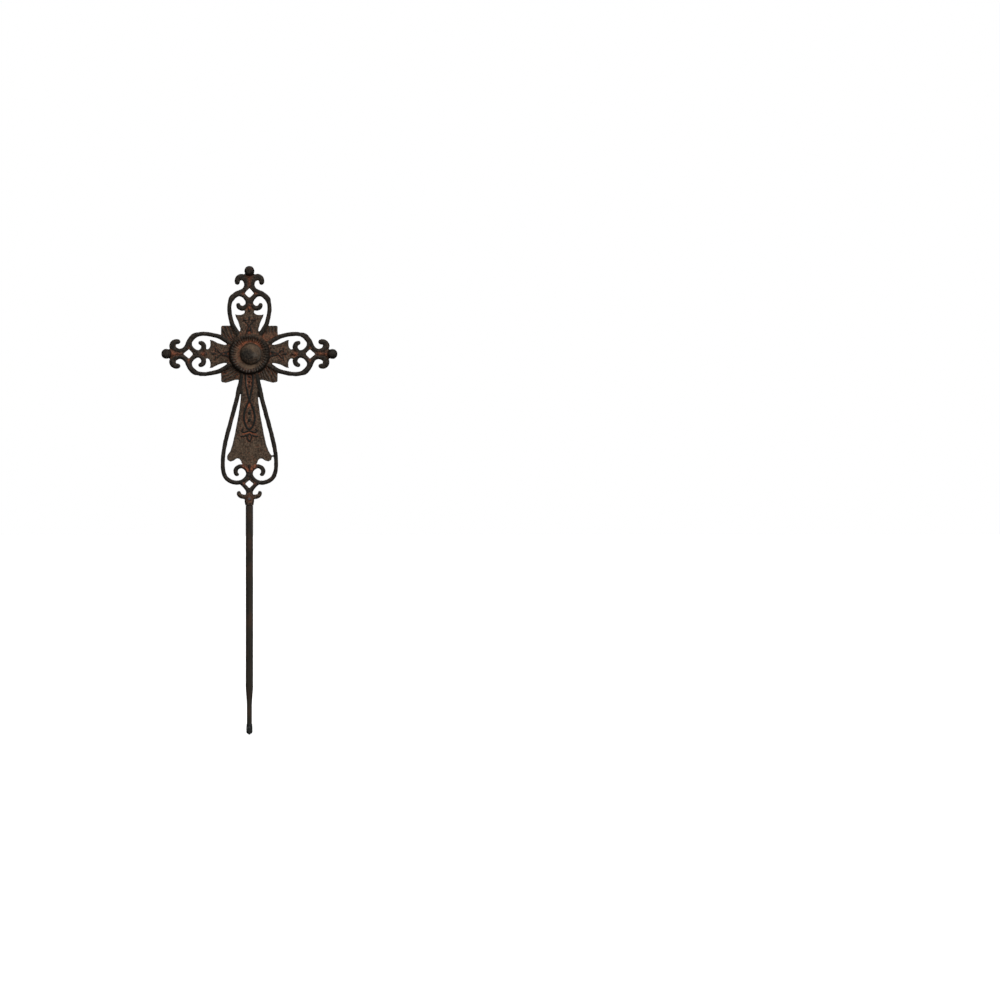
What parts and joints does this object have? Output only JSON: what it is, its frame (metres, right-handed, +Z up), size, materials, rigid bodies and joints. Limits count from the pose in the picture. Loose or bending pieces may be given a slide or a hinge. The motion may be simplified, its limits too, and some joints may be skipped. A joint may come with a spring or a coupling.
{
  "type": "grave cross",
  "caption": "Openwork cast iron grave cross with flared arms, scroll bars, ball ends and a ribbed boss, on a thin round stake that is set in the ground.",
  "frame": {"origin": "on the stake's axis at the ground line, 150 mm above the end of the tip cap", "axes": "+Z up along the stake, the ornamented front faces -Y, +X to the right of the front view"},
  "size_m": [0.2288, 0.0176, 0.6096],
  "materials": {
    "rusted_cast_iron": "rough dark brown casting, bright rust in the hollows",
    "rod_steel": "drawn round bar with a dull, dark brown rust skin",
    "black_rubber": "dull moulded rubber",
    "screw_steel": "dull blue-grey steel"
  },
  "bodies": {
    "root": {"cast_cross": "rusted_cast_iron", "stake_rod": "rod_steel", "tip_cap": "black_rubber", "set_screw": "screw_steel"}
  },
  "joints": []
}
